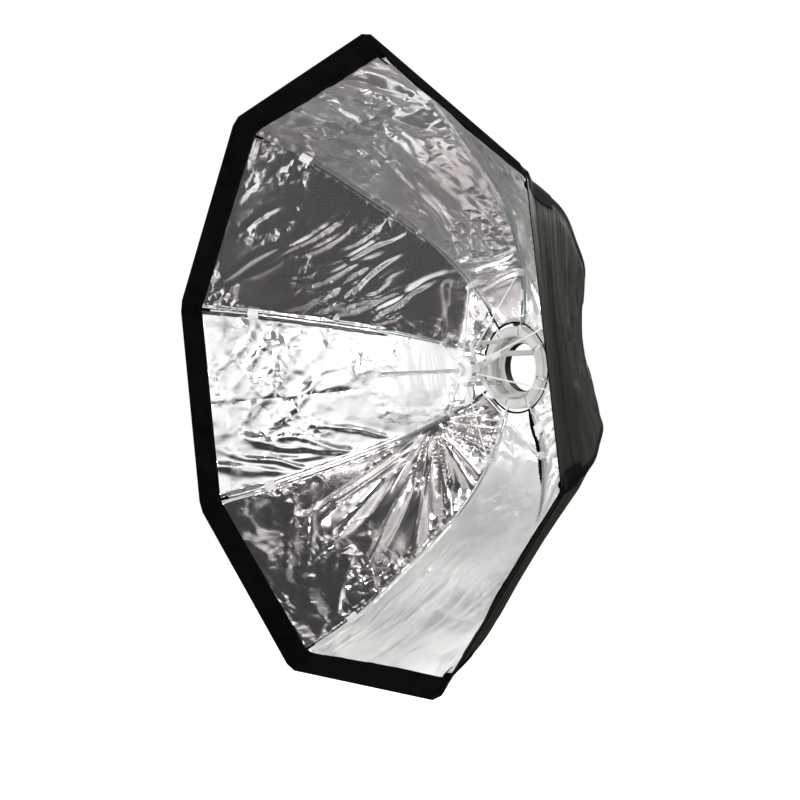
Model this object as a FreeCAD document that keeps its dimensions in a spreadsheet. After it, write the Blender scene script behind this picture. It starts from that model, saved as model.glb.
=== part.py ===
import FreeCAD, Part
import math
import os
import Sketcher

# Octabox: an eight-sided softbox that opens and folds like an umbrella.
# Frame: +Z up, the opening faces -Y, and the origin is the centre of the seat
# that rests against the flash. All lengths are millimetres.

NODE_FOLDER = "parts"
RIB_COUNT = 8
ARM_RIBS = (2, 4, 6, 8)
LUG_COUNT = 3
RETAINING_SCREW_COUNT = 6

# Profile of an open rib as shares of the canopy radius: distance from the axis
# and distance in front of the rib hinges.
RIB_PROFILE = (
    (0.240, 0.019),
    (0.340, 0.046),
    (0.450, 0.103),
    (0.590, 0.213),
    (0.730, 0.383),
    (0.860, 0.560),
    (0.944, 0.742),
)
LIP_EDGE = (1.0, 0.803)

PARAMETERS = (
    ("canopy_radius", 575.0, "axis to the corners of the front lip"),
    ("rib_hinge_radius", 71.9, "axis to the rib hinge pins"),
    ("rib_hinge_depth", 27.0, "seat face to the plane of the hinge pins"),
    ("bore_radius", 49.0, "clear bore for the flash tube"),
    ("spigot_radius", 52.5, "outside of the bayonet spigot"),
    ("spigot_length", 9.0, "spigot behind the seat face"),
    ("lug_radius", 57.5, "outside of the bayonet lugs"),
    ("lug_thickness", 4.0, "lug thickness along the axis"),
    ("lug_sweep", 38.0, "angle that one lug covers"),
    ("flange_radius", 70.0, "outside of the insert flange"),
    ("flange_thickness", 5.0, "thickness of the insert flange"),
    ("journal_radius", 60.0, "journal that the hinge ring turns on"),
    ("journal_front", 12.0, "seat face to the front of the journal"),
    ("running_gap", 0.05, "radial clearance of running fits"),
    ("face_gap", 0.1, "axial clearance beside the hinge ring"),
    ("ring_radius", 83.4, "outside of the hinge ring"),
    ("ring_bore", 63.4, "inside of the hinge ring's front part"),
    ("ring_front", 34.0, "seat face to the front of the hinge ring"),
    ("ring_chamfer", 2.6, "chamfer on the hinge ring"),
    ("notch_width", 7.0, "width of a rib notch"),
    ("notch_floor", 67.6, "axis to the floor of a rib notch"),
    ("notch_rear", 20.5, "seat face to the rear wall of a notch"),
    ("hinge_pin_radius", 1.6, "rib hinge pins"),
    ("hinge_pin_length", 18.0, "rib hinge pins"),
    ("clamp_radius", 61.6, "outside of the retaining ring"),
    ("clamp_bore", 54.5, "inside of the retaining ring"),
    ("clamp_thickness", 3.0, "retaining ring"),
    ("screw_radius", 1.5, "shanks of the small screws"),
    ("screw_head_radius", 2.7, "heads of the small screws"),
    ("screw_head_height", 1.8, "heads of the small screws"),
    ("arm_width", 10.0, "width of a hub arm"),
    ("arm_thickness", 4.0, "thickness of a hub arm"),
    ("arm_bend", 115.0, "seat face to the bend of an arm"),
    ("boss_radius", 17.0, "centre boss"),
    ("boss_rear", 114.0, "seat face to the rear of the centre boss"),
    ("boss_front", 137.0, "seat face to the front of the centre boss"),
    ("shaft_radius", 4.0, "shaft that the runner slides on"),
    ("shaft_front", 369.0, "seat face to the front end of the shaft"),
    ("stop_radius", 6.0, "end stop of the shaft"),
    ("stop_length", 7.0, "end stop of the shaft"),
    ("runner_radius", 28.5, "runner"),
    ("runner_rear", 138.5, "seat face to the rear of the runner's neck"),
    ("runner_disc_rear", 147.0, "seat face to the rear of the runner's disc"),
    ("runner_rear_neck", 12.0, "rear neck of the runner"),
    ("runner_shoulder", 172.0, "seat face to the runner's shoulder"),
    ("runner_front", 180.0, "seat face to the front of the runner"),
    ("runner_neck", 11.5, "front neck of the runner"),
    ("groove_width", 6.4, "runner groove that takes a strut end"),
    ("groove_floor", 22.0, "axis to the floor of a groove"),
    ("groove_front", 168.6, "seat face to the front end of a groove"),
    ("button_radius", 2.8, "release button"),
    ("button_inner", 8.6, "axis to the inner end of the button"),
    ("button_outer", 14.6, "axis to the face of the button"),
    ("button_travel", 1.8, "travel of the release button"),
    ("lock_stem_radius", 2.4, "thumbscrew stem"),
    ("lock_depth", 8.5, "seat face to the thumbscrew's axis"),
    ("lock_knob_radius", 7.5, "thumbscrew knob"),
    ("lock_knob_start", 86.0, "axis to the knob"),
    ("lock_knob_end", 102.0, "axis to the end of the knob"),
    ("rib_rod_radius", 2.2, "rib rod"),
    ("tongue_length", 17.0, "hinge pin to the end of the rib's root tongue"),
    ("tongue_half_height", 3.2, "root tongue"),
    ("tongue_width", 5.6, "root tongue"),
    ("rib_eye_radius", 4.0, "root eye of a rib"),
    ("rib_eye_width", 6.4, "root eye of a rib"),
    ("strut_joint_radius", 193.2, "axis to the strut joint on a rib"),
    ("strut_joint_front", 34.5, "rib hinge plane to the strut joint"),
    ("strut_hub_radius", 27.0, "axis to the runner end of a strut"),
    ("strut_hub_front", 126.0, "rib hinge plane to the runner end of a strut"),
    ("strut_rod_radius", 1.6, "strut rod"),
    ("strut_eye_radius", 3.3, "outer eye of a strut"),
    ("strut_eye_width", 5.2, "outer eye of a strut"),
    ("strut_barrel_radius", 2.5, "barrel at the runner end of a strut"),
    ("strut_barrel_width", 6.0, "barrel at the runner end of a strut"),
    ("strut_pin_radius", 1.5, "pin of the bracket on a rib"),
    ("bracket_length", 13.0, "strut bracket along the rib"),
    ("bracket_gap", 6.2, "between the cheeks of a strut bracket"),
    ("cheek_thickness", 1.6, "cheek of a strut bracket"),
    ("sleeve_radius", 3.5, "cloth ties and tip cap around a rib"),
    ("tie_length", 22.0, "cloth tie along the rib"),
    ("cap_length", 12.0, "tip cap along the rib"),
    ("canopy_clearance", 4.1, "rib centre line to the liner"),
    ("canopy_thickness", 1.6, "liner, padding and outer cloth together"),
    ("canopy_inner_radius", 92.0, "axis to the canopy's inner edge at a rib"),
    ("seam_gap", 0.5, "gap between neighbouring half panels"),
)

document = FreeCAD.newDocument("octabox")
sheet = document.addObject("Spreadsheet::Sheet", "Parameters")
sheet.Label = "Parameters"
for row, (alias, value, meaning) in enumerate(PARAMETERS, start=1):
    sheet.set(f"A{row}", alias)
    sheet.set(f"B{row}", str(value))
    sheet.set(f"C{row}", meaning)
    sheet.setAlias(f"B{row}", alias)
document.recompute()

sub_parts = []


def value_of(alias):
    """The plain number in the spreadsheet cell with this alias."""
    return float(sheet.get(alias))


def bind(feature, **expressions):
    """Drive properties of a feature by expressions over the spreadsheet."""
    for prop, expression in expressions.items():
        feature.setExpression(prop, expression)
    return feature


def cell(alias):
    """The name of a spreadsheet cell inside an expression."""
    return f"Parameters.{alias}"


def keep(feature, label):
    """Register a finished feature as a sub-part of the octabox."""
    feature.Label = label
    sub_parts.append(feature)
    return feature


def rib_angle(number):
    """Turn about Y that brings local +X to a rib; rib 1 is at the upper right."""
    pitch = 360.0 / RIB_COUNT
    from_top = pitch / 2.0 - pitch * (number - 1)
    return from_top - 90.0


def panel_angle(number):
    """Turn about Y that brings local +X to the middle of a panel."""
    return rib_angle(number) - 180.0 / RIB_COUNT


def turned(angle):
    """Placement that is a turn about the octabox's axis."""
    return FreeCAD.Placement(
        FreeCAD.Vector(0, 0, 0), FreeCAD.Rotation(FreeCAD.Vector(0, 1, 0), angle)
    )


def copy_at(master, label, angle):
    """One placed copy of a master feature, as a sub-part with its own label."""
    copy = document.addObject("Part::Compound", "Copy")
    copy.Links = [master]
    copy.Placement = turned(angle)
    return keep(copy, label)


def group(name, members, angle=0.0):
    """Separate solids held together as one feature."""
    compound = document.addObject("Part::Compound", name)
    compound.Links = members
    compound.Placement = turned(angle)
    return compound


def fused(name, members):
    """Union of features."""
    fusion = document.addObject("Part::MultiFuse", name)
    fusion.Shapes = members
    return fusion


def cut(name, base, tool):
    """One feature with another taken out of it."""
    difference = document.addObject("Part::Cut", name)
    difference.Base = base
    difference.Tool = tool
    return difference


def outline(name, points):
    """Closed sketch of straight lines through points in the local XY plane."""
    sketch = document.addObject("Sketcher::SketchObject", name)
    corners = [FreeCAD.Vector(x, y, 0) for x, y in points]
    count = len(corners)
    for index in range(count):
        sketch.addGeometry(Part.LineSegment(corners[index], corners[(index + 1) % count]))
    for index in range(count):
        sketch.addConstraint(Sketcher.Constraint("Coincident", index, 2, (index + 1) % count, 1))
    return sketch


def revolved(name, points, sweep=360.0):
    """Solid of revolution about the octabox's axis."""
    turning = document.addObject("Part::Revolution", name)
    turning.Source = outline(name + "Outline", points)
    turning.Axis = FreeCAD.Vector(0, 1, 0)
    turning.Base = FreeCAD.Vector(0, 0, 0)
    turning.Angle = sweep
    turning.Solid = True
    return turning


def plate(name, points, width):
    """Flat bar with the given side outline, centred across its width."""
    return extruded(name, outline(name + "Outline", points), width, symmetric=True)


def extruded(name, sketch, width, symmetric=False, backward=False):
    """Extrusion of a sketch along local Z by a width given as an expression."""
    extrusion = document.addObject("Part::Extrusion", name)
    extrusion.Base = sketch
    extrusion.DirMode = "Custom"
    extrusion.Dir = FreeCAD.Vector(0, 0, -1 if backward else 1)
    extrusion.Solid = True
    extrusion.Symmetric = symmetric
    return bind(extrusion, LengthFwd=width)


def rod(name, radius, length, start, direction):
    """Round bar whose radius and length are expressions."""
    bar = document.addObject("Part::Cylinder", name)
    bind(bar, Radius=radius, Height=length)
    bar.Placement = FreeCAD.Placement(
        start, FreeCAD.Rotation(FreeCAD.Vector(0, 0, 1), direction)
    )
    return bar


def cross_pin(name, radius, width, x, y):
    """Round bar along local Z, centred on the rib plane; width is a cell alias."""
    start = FreeCAD.Vector(x, y, -value_of(width) / 2.0)
    return rod(name, radius, cell(width), start, FreeCAD.Vector(0, 0, 1))


def block(name, low, high):
    """Box between two opposite corners."""
    box = document.addObject("Part::Box", name)
    box.Length = high[0] - low[0]
    box.Width = high[1] - low[1]
    box.Height = high[2] - low[2]
    box.Placement.Base = FreeCAD.Vector(*low)
    return box


def around(name, master, angles):
    """Group of copies of a feature at several turns about the axis."""
    return group(name, [group(name + "Copy", [master], angle) for angle in angles])


def all_rib_angles():
    return [rib_angle(number) for number in range(1, RIB_COUNT + 1)]


def hinge_height():
    """Local Y of the rib hinge plane."""
    return -value_of("rib_hinge_depth")


def in_front_of_hinges(radius, front):
    """Point in the rib plane at a radius and a distance in front of the hinges."""
    return FreeCAD.Vector(radius, hinge_height() - front, 0)


def make_bayonet_insert():
    """Spigot with bayonet lugs and journal, the seat flange and the retaining ring."""
    bore = value_of("bore_radius")
    spigot = value_of("spigot_radius")
    spigot_end = value_of("spigot_length")
    flange = value_of("flange_radius")
    flange_front = -value_of("flange_thickness")
    journal = value_of("journal_radius")
    journal_front = -value_of("journal_front")
    clamp_bore = value_of("clamp_bore")
    body = revolved(
        "InsertBody",
        (
            (bore, spigot_end),
            (spigot, spigot_end),
            (spigot, flange_front),
            (journal, flange_front),
            (journal, journal_front),
            (clamp_bore, journal_front),
            (bore, journal_front + clamp_bore - bore),
        ),
    )
    seat = revolved(
        "SeatFlange",
        (
            (spigot, 0.0),
            (flange - 1.0, 0.0),
            (flange, -1.0),
            (flange, flange_front),
            (spigot, flange_front),
        ),
    )
    keep(seat, "seat_flange")
    lug_front = spigot_end - value_of("lug_thickness")
    lug = revolved(
        "Lug",
        (
            (spigot - 0.5, lug_front),
            (value_of("lug_radius"), lug_front),
            (value_of("lug_radius"), spigot_end),
            (spigot - 0.5, spigot_end),
        ),
        value_of("lug_sweep"),
    )
    bind(lug, Angle=cell("lug_sweep"))
    lugs = around("Lugs", lug, [index * 360.0 / LUG_COUNT for index in range(LUG_COUNT)])
    screws = make_retaining_screws()
    keep(cut("Insert", fused("InsertWithLugs", [body, lugs]), screws), "bayonet_insert")
    clamp = revolved(
        "ClampBody",
        (
            (clamp_bore, journal_front),
            (value_of("clamp_radius"), journal_front),
            (value_of("clamp_radius"), journal_front - value_of("clamp_thickness") + 0.8),
            (value_of("clamp_radius") - 0.8, journal_front - value_of("clamp_thickness")),
            (clamp_bore, journal_front - value_of("clamp_thickness")),
        ),
    )
    keep(cut("Clamp", clamp, screws), "retaining_ring")
    keep(screws, "retaining_screws")


def make_screw(name, head_face, direction):
    """Cap screw whose head stands on a face and whose shank goes the other way."""
    shank_length = 6.0
    head = rod(
        name + "Head", cell("screw_head_radius"), cell("screw_head_height"), head_face, direction
    )
    shank = rod(name + "Shank", cell("screw_radius"), str(shank_length), head_face, -direction)
    return fused(name, [head, shank])


def make_retaining_screws():
    """Screws that hold the retaining ring on the journal."""
    radius = (value_of("clamp_bore") + value_of("journal_radius")) / 2.0
    face = -value_of("journal_front") - value_of("clamp_thickness")
    screw = make_screw(
        "RetainingScrew", FreeCAD.Vector(radius, face, 0), FreeCAD.Vector(0, -1, 0)
    )
    step = 360.0 / RETAINING_SCREW_COUNT
    return around("RetainingScrews", screw, [index * step for index in range(RETAINING_SCREW_COUNT)])


def make_hinge_ring(arm_screws):
    """Cast ring that turns on the journal and carries the rib hinges."""
    journal_bore = value_of("journal_radius") + value_of("running_gap")
    rear = -value_of("flange_thickness") - value_of("face_gap")
    lip_front = -value_of("journal_front") + value_of("face_gap")
    outside = value_of("ring_radius")
    bore = value_of("ring_bore")
    front = -value_of("ring_front")
    chamfer = value_of("ring_chamfer")
    body = revolved(
        "RingBody",
        (
            (journal_bore, rear),
            (outside - chamfer, rear),
            (outside, rear - chamfer),
            (outside, front + chamfer),
            (outside - chamfer, front),
            (bore + chamfer, front),
            (bore, front + chamfer),
            (bore, lip_front),
            (journal_bore, lip_front),
        ),
    )
    half_notch = value_of("notch_width") / 2.0
    notch = block(
        "Notch",
        (value_of("notch_floor"), front - 5.0, -half_notch),
        (outside + 10.0, -value_of("notch_rear"), half_notch),
    )
    pin = cross_pin(
        "HingePin",
        cell("hinge_pin_radius"),
        "hinge_pin_length",
        value_of("rib_hinge_radius"),
        hinge_height(),
    )
    pins = around("HingePins", pin, all_rib_angles())
    lock_hole = rod(
        "LockHole",
        cell("lock_stem_radius") + " + " + cell("running_gap"),
        cell("ring_radius"),
        FreeCAD.Vector(0, -value_of("lock_depth"), value_of("rib_hinge_radius") - 20.0),
        FreeCAD.Vector(0, 0, 1),
    )
    openings = fused("RingOpenings", [around("Notches", notch, all_rib_angles()), lock_hole])
    fasteners = group("RingFasteners", [pins, arm_screws])
    ring = cut("Ring", cut("RingWithNotches", body, openings), fasteners)
    keep(ring, "hinge_ring")
    keep(pins, "hinge_pins")


def make_lock_thumbscrew():
    """Thumbscrew that clamps the hinge ring on the journal."""
    depth = -value_of("lock_depth")
    up = FreeCAD.Vector(0, 0, 1)
    stem_start = value_of("journal_radius") + 0.4
    knob_start = value_of("lock_knob_start")
    stem = rod(
        "LockStem",
        cell("lock_stem_radius"),
        str(knob_start - stem_start + 1.0),
        FreeCAD.Vector(0, depth, stem_start),
        up,
    )
    knob = rod(
        "LockKnob",
        cell("lock_knob_radius") + " - 1",
        cell("lock_knob_end") + " - " + cell("lock_knob_start"),
        FreeCAD.Vector(0, depth, knob_start),
        up,
    )
    lobes = []
    lobe_count = 8
    for index in range(lobe_count):
        angle = math.radians(360.0 * index / lobe_count)
        reach = value_of("lock_knob_radius") - 1.6
        start = FreeCAD.Vector(reach * math.cos(angle), depth + reach * math.sin(angle), knob_start + 1.0)
        lobes.append(rod("LockLobe", "1.6", str(value_of("lock_knob_end") - knob_start - 2.0), start, up))
    keep(fused("LockThumbscrew", [stem, knob, *lobes]), "lock_thumbscrew")


def arm_outline():
    """Side outline of a hub arm: along the ring's bore, then in to the boss."""
    thickness = value_of("arm_thickness")
    outer = value_of("ring_bore") - 0.3
    inner = outer - thickness
    start = -18.0
    bend = -value_of("arm_bend")
    boss_end = -value_of("boss_front") + 11.0
    boss_reach = value_of("boss_radius") - 5.0
    rise = (bend - boss_end) / (outer - boss_reach)
    across = thickness * math.sqrt(1.0 + rise * rise)
    corner_shift = thickness * (math.sqrt(1.0 + rise * rise) - rise)
    return (
        (outer, start),
        (outer, bend - thickness),
        (boss_reach, boss_end - across),
        (boss_reach, boss_end),
        (inner, bend - thickness + corner_shift),
        (inner, start),
    )


def make_arm_screws():
    """Screws that fix the hub arms to the bore of the hinge ring."""
    inner_face = value_of("ring_bore") - 0.3 - value_of("arm_thickness")
    screws = [
        make_screw(
            "ArmScrew", FreeCAD.Vector(inner_face, depth, 0), FreeCAD.Vector(-1, 0, 0)
        )
        for depth in (-21.5, -29.5)
    ]
    pair = group("ArmScrewPair", screws)
    return around("ArmScrews", pair, [rib_angle(number) for number in ARM_RIBS])


def make_hub():
    """Four arms, the centre boss, the shaft and its end stop."""
    arm_screws = make_arm_screws()
    make_hinge_ring(arm_screws)
    keep(arm_screws, "arm_screws")
    bar = plate("ArmBar", arm_outline(), cell("arm_width"))
    drilled = cut("DrilledArm", bar, group("OneArmScrewPair", [document.ArmScrewPair]))
    for number in ARM_RIBS:
        copy_at(drilled, f"hub_arm_{number}", rib_angle(number))
    rear = -value_of("boss_rear")
    front = -value_of("boss_front")
    radius = value_of("boss_radius")
    boss = revolved(
        "BossBody",
        ((0.0, rear), (radius - 2.0, rear), (radius, rear - 2.0), (radius, front + 2.0),
         (radius - 2.0, front), (0.0, front)),
    )
    shaft_rear = rear - 4.0
    forward = FreeCAD.Vector(0, -1, 0)
    shaft = rod(
        "Shaft",
        cell("shaft_radius"),
        str(value_of("shaft_front") + shaft_rear),
        FreeCAD.Vector(0, shaft_rear, 0),
        forward,
    )
    all_arms = around("AllArms", bar, [rib_angle(number) for number in ARM_RIBS])
    sockets = group("BossSockets", [all_arms, shaft])
    keep(cut("Boss", boss, sockets), "centre_boss")
    keep(shaft, "runner_shaft")
    stop_rear = -value_of("shaft_front")
    stop_radius = value_of("stop_radius")
    stop_front = stop_rear - value_of("stop_length")
    stop = revolved(
        "EndStop",
        ((0.0, stop_rear), (stop_radius, stop_rear), (stop_radius, stop_front + 2.5),
         (stop_radius - 2.5, stop_front), (0.0, stop_front)),
    )
    keep(stop, "shaft_end_stop")


def make_runner():
    """Runner with grooves for the strut ends, and its release button."""
    radius = value_of("runner_radius")
    rear = -value_of("runner_rear")
    rear_neck = value_of("runner_rear_neck")
    disc_rear = -value_of("runner_disc_rear")
    shoulder = -value_of("runner_shoulder")
    front = -value_of("runner_front")
    neck = value_of("runner_neck")
    bore = value_of("shaft_radius") + value_of("running_gap")
    body = revolved(
        "RunnerBody",
        (
            (bore, rear),
            (rear_neck, rear),
            (rear_neck, disc_rear),
            (radius - 1.5, disc_rear),
            (radius, disc_rear - 1.5),
            (radius, shoulder + 3.0),
            (radius - 3.0, shoulder),
            (neck, shoulder),
            (neck, front + 1.0),
            (neck - 1.0, front),
            (bore, front),
        ),
    )
    half_groove = value_of("groove_width") / 2.0
    groove = block(
        "Groove",
        (value_of("groove_floor"), -value_of("groove_front"), -half_groove),
        (radius + 5.0, disc_rear + 5.0, half_groove),
    )
    button_axis = (shoulder + front) / 2.0
    up = FreeCAD.Vector(0, 0, 1)
    pocket_floor = value_of("button_inner") - value_of("button_travel") - 0.4
    pocket = rod(
        "ButtonPocket",
        cell("button_radius") + " + " + cell("running_gap"),
        cell("runner_neck"),
        FreeCAD.Vector(0, button_axis, pocket_floor),
        up,
    )
    openings = fused("RunnerOpenings", [around("Grooves", groove, all_rib_angles()), pocket])
    keep(cut("Runner", body, openings), "runner")
    button = rod(
        "Button",
        cell("button_radius"),
        cell("button_outer") + " - " + cell("button_inner"),
        FreeCAD.Vector(0, button_axis, value_of("button_inner")),
        up,
    )
    keep(button, "release_button")


def rib_points():
    """Centre line of an open rib in the rib plane, from its root to its tip."""
    radius = value_of("canopy_radius")
    hinge = in_front_of_hinges(value_of("rib_hinge_radius"), 0.0)
    profile = [in_front_of_hinges(out * radius, front * radius) for out, front in RIB_PROFILE]
    along = (profile[0] - hinge).normalize()
    root = [hinge + along * reach for reach in (7.0, 2.0 * value_of("tongue_length"))]
    return root + profile


def rib_curve():
    curve = Part.BSplineCurve()
    curve.interpolate(rib_points())
    return curve


def point_on_rib(distance_from_axis):
    """Point of the rib's centre line at a distance from the axis, with its direction."""
    curve = rib_curve()
    low = curve.FirstParameter
    high = curve.LastParameter
    for _ in range(60):
        middle = (low + high) / 2.0
        if curve.value(middle).x < distance_from_axis:
            low = middle
        else:
            high = middle
    return curve.value(low), curve.tangent(low)[0]


def tube_on_rib(name, distance_from_axis, length, bore_aliases):
    """Sleeve around the rib, centred at a distance from the axis."""
    centre, direction = point_on_rib(distance_from_axis)
    start = centre - direction * (value_of(length) / 2.0)
    sleeve = rod(name, cell("sleeve_radius"), cell(length), start, direction)
    return cut(name + "Bored", sleeve, bore_aliases)


def make_rib_rod():
    """Round spring rod along the rib's centre line."""
    curve = rib_curve()
    spine = Part.Wire([curve.toShape()])
    start = curve.value(curve.FirstParameter)
    direction = curve.tangent(curve.FirstParameter)[0]
    section = Part.Wire([Part.makeCircle(value_of("rib_rod_radius"), start, direction)])
    rib = document.addObject("Part::Feature", "RibRod")
    rib.Shape = spine.makePipeShell([section], True, True)
    return rib


def make_rib_root(rib):
    """Hinge eye and tongue that hold the inner end of a rib rod."""
    hinge = in_front_of_hinges(value_of("rib_hinge_radius"), 0.0)
    along = (rib_points()[1] - hinge).normalize()
    side = FreeCAD.Vector(-along.y, along.x, 0) * value_of("tongue_half_height")
    end = hinge + along * value_of("tongue_length")
    corners = [hinge + side, end + side, end - side, hinge - side]
    tongue = plate("Tongue", [(corner.x, corner.y) for corner in corners], cell("tongue_width"))
    eye = cross_pin("RibEye", cell("rib_eye_radius"), "rib_eye_width", hinge.x, hinge.y)
    hole = cross_pin(
        "RibEyeHole",
        cell("hinge_pin_radius") + " + " + cell("running_gap"),
        "hinge_pin_length",
        hinge.x,
        hinge.y,
    )
    return cut("RibRoot", fused("RootBody", [tongue, eye]), group("RootBores", [hole, rib]))


def make_strut_bracket(rib):
    """Saddle on the rib with two cheeks and the pin that carries a strut."""
    joint = in_front_of_hinges(value_of("strut_joint_radius"), value_of("strut_joint_front"))
    centre, along = point_on_rib(joint.x)
    side = FreeCAD.Vector(-along.y, along.x, 0)
    if side.dot(joint - centre) < 0:
        side = side * -1.0
    reach = side.dot(joint - centre)
    foot = joint - side * reach
    half_length = value_of("bracket_length") / 2.0
    saddle_half = value_of("tongue_half_height")
    low = side * -saddle_half
    saddle_top = side * saddle_half
    cheek_top = side * (reach + value_of("strut_eye_radius") + 1.0)
    run = along * half_length
    width = value_of("bracket_gap") + 2.0 * value_of("cheek_thickness")
    saddle_corners = (foot + low - run, foot + low + run, foot + saddle_top + run,
                      foot + saddle_top - run)
    cheek_corners = (foot + low - run, foot + low + run, foot + saddle_top + run,
                     foot + cheek_top + run * 0.5, foot + cheek_top - run * 0.5,
                     foot + saddle_top - run)
    saddle = plate("Saddle", [(p.x, p.y) for p in saddle_corners], str(width))
    cheeks = plate("Cheeks", [(p.x, p.y) for p in cheek_corners], str(width))
    slot_corners = (foot + saddle_top - run * 2.0, foot + saddle_top + run * 2.0,
                    foot + cheek_top * 2.0 + run * 2.0, foot + cheek_top * 2.0 - run * 2.0)
    slot = plate("BracketSlot", [(p.x, p.y) for p in slot_corners], cell("bracket_gap"))
    forked = cut("ForkedCheeks", cheeks, slot)
    pin_start = FreeCAD.Vector(joint.x, joint.y, -width / 2.0)
    pin = rod("BracketPin", cell("strut_pin_radius"), str(width), pin_start, FreeCAD.Vector(0, 0, 1))
    return cut("StrutBracket", fused("BracketBody", [saddle, forked, pin]), rib)


def make_ribs():
    """Eight rib rods and the eight sets of fittings fixed to them."""
    rib = make_rib_rod()
    radius = value_of("canopy_radius")
    fittings = group(
        "Fittings",
        [
            make_rib_root(rib),
            make_strut_bracket(rib),
            tube_on_rib("InnerTie", 0.262 * radius, "tie_length", rib),
            tube_on_rib("OuterTie", 0.865 * radius, "tie_length", rib),
            tube_on_rib("TipCap", 0.9415 * radius, "cap_length", rib),
        ],
    )
    for number in range(1, RIB_COUNT + 1):
        copy_at(rib, f"rib_{number}_rod", rib_angle(number))
        copy_at(fittings, f"rib_{number}_fittings", rib_angle(number))


def make_struts():
    """Eight struts from the runner's grooves to the rib brackets."""
    joint = in_front_of_hinges(value_of("strut_joint_radius"), value_of("strut_joint_front"))
    hub = in_front_of_hinges(value_of("strut_hub_radius"), value_of("strut_hub_front"))
    bar = rod(
        "StrutBar", cell("strut_rod_radius"), str((hub - joint).Length), joint, hub - joint
    )
    eye = cross_pin("StrutEye", cell("strut_eye_radius"), "strut_eye_width", joint.x, joint.y)
    barrel = cross_pin(
        "StrutBarrel", cell("strut_barrel_radius"), "strut_barrel_width", hub.x, hub.y
    )
    hole = cross_pin(
        "StrutEyeHole",
        cell("strut_pin_radius") + " + " + cell("running_gap"),
        "notch_width",
        joint.x,
        joint.y,
    )
    strut = cut("Strut", fused("StrutBody", [bar, eye, barrel]), hole)
    for number in range(1, RIB_COUNT + 1):
        copy_at(strut, f"strut_{number}", rib_angle(number))


def canopy_line(offset):
    """Canopy profile in the rib plane at an offset outside the rib's centre line."""
    curve = rib_curve()
    radius = value_of("canopy_radius")
    start = value_of("canopy_inner_radius")
    end = RIB_PROFILE[-1][0] * radius
    stations = [start, *(out * radius for out, _ in RIB_PROFILE[:-1]), end - 0.01]
    line = []
    for station in stations:
        point, direction = point_on_rib(station)
        outward = FreeCAD.Vector(-direction.y, direction.x, 0)
        line.append(point + outward * offset)
    lip = in_front_of_hinges(LIP_EDGE[0] * radius, LIP_EDGE[1] * radius)
    rear = FreeCAD.Vector(-direction.y, direction.x, 0)
    return line, lip + rear * (offset - value_of("canopy_clearance"))


def make_panel_sketch():
    """Profile of a canopy panel in its middle plane, with the front lip."""
    shrink = math.cos(math.pi / RIB_COUNT)
    inner, inner_lip = canopy_line(value_of("canopy_clearance"))
    outer, outer_lip = canopy_line(
        value_of("canopy_clearance") + value_of("canopy_thickness")
    )

    def to_middle(point):
        return FreeCAD.Vector(point.x * shrink, point.y, 0)

    inner = [to_middle(point) for point in inner]
    outer = [to_middle(point) for point in outer]
    inner_lip = to_middle(inner_lip)
    outer_lip = to_middle(outer_lip)
    inner_curve = Part.BSplineCurve()
    inner_curve.interpolate(inner)
    outer_curve = Part.BSplineCurve()
    outer_curve.interpolate(outer)
    sketch = document.addObject("Sketcher::SketchObject", "PanelProfile")
    sketch.addGeometry(inner_curve)
    sketch.addGeometry(Part.LineSegment(inner[-1], inner_lip))
    sketch.addGeometry(Part.LineSegment(inner_lip, outer_lip))
    sketch.addGeometry(Part.LineSegment(outer_lip, outer[-1]))
    sketch.addGeometry(outer_curve)
    sketch.addGeometry(Part.LineSegment(outer[0], inner[0]))
    return sketch


def make_half_panel(name, sketch, side):
    """Half of a canopy panel, from its middle plane to the rib on one side."""
    reach = value_of("canopy_radius") * 1.1
    gap = value_of("seam_gap") / 2.0
    sheet_half = extruded(name + "Sheet", sketch, cell("canopy_radius"), backward=side < 0)
    slope = math.tan(math.pi / RIB_COUNT)
    drop = gap / math.cos(math.pi / RIB_COUNT)
    wedge_points = (
        FreeCAD.Vector(0, 100.0, side * gap),
        FreeCAD.Vector(reach, 100.0, side * gap),
        FreeCAD.Vector(reach, 100.0, side * (reach * slope - drop)),
        FreeCAD.Vector(0, 100.0, side * gap),
    )
    face = Part.Face(Part.makePolygon([
        FreeCAD.Vector((gap + drop) / slope, 100.0, side * gap), *wedge_points[1:3],
        FreeCAD.Vector((gap + drop) / slope, 100.0, side * gap),
    ]))
    sector = document.addObject("Part::Feature", name + "Sector")
    sector.Shape = face.extrude(FreeCAD.Vector(0, -value_of("canopy_radius") * 1.2, 0))
    half = document.addObject("Part::MultiCommon", name)
    half.Shapes = [sheet_half, sector]
    return half


def make_canopy():
    """Sixteen half panels: each panel folds along the seam in its middle."""
    sketch = make_panel_sketch()
    near_half = make_half_panel("NearHalf", sketch, -1)
    far_half = make_half_panel("FarHalf", sketch, 1)
    for number in range(1, RIB_COUNT + 1):
        copy_at(near_half, f"canopy_{number}_a", panel_angle(number))
        copy_at(far_half, f"canopy_{number}_b", panel_angle(number))


def check_and_write():
    """Recompute, make sure every feature is sound and write the sub-parts."""
    document.recompute()
    for item in document.Objects:
        bad = [state for state in item.State if state in ("Invalid", "Error")]
        if bad:
            raise RuntimeError(f"{item.Label} is {bad}")
    os.makedirs(NODE_FOLDER, exist_ok=True)
    for part in sub_parts:
        if part.Shape.isNull() or not part.Shape.isValid() or not part.Shape.Solids:
            raise RuntimeError(f"{part.Label} has no sound shape")
        part.Shape.exportStep(os.path.join(NODE_FOLDER, part.Label + ".step"))


make_bayonet_insert()
make_hub()
make_lock_thumbscrew()
make_runner()
make_ribs()
make_struts()
make_canopy()
check_and_write()
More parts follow.
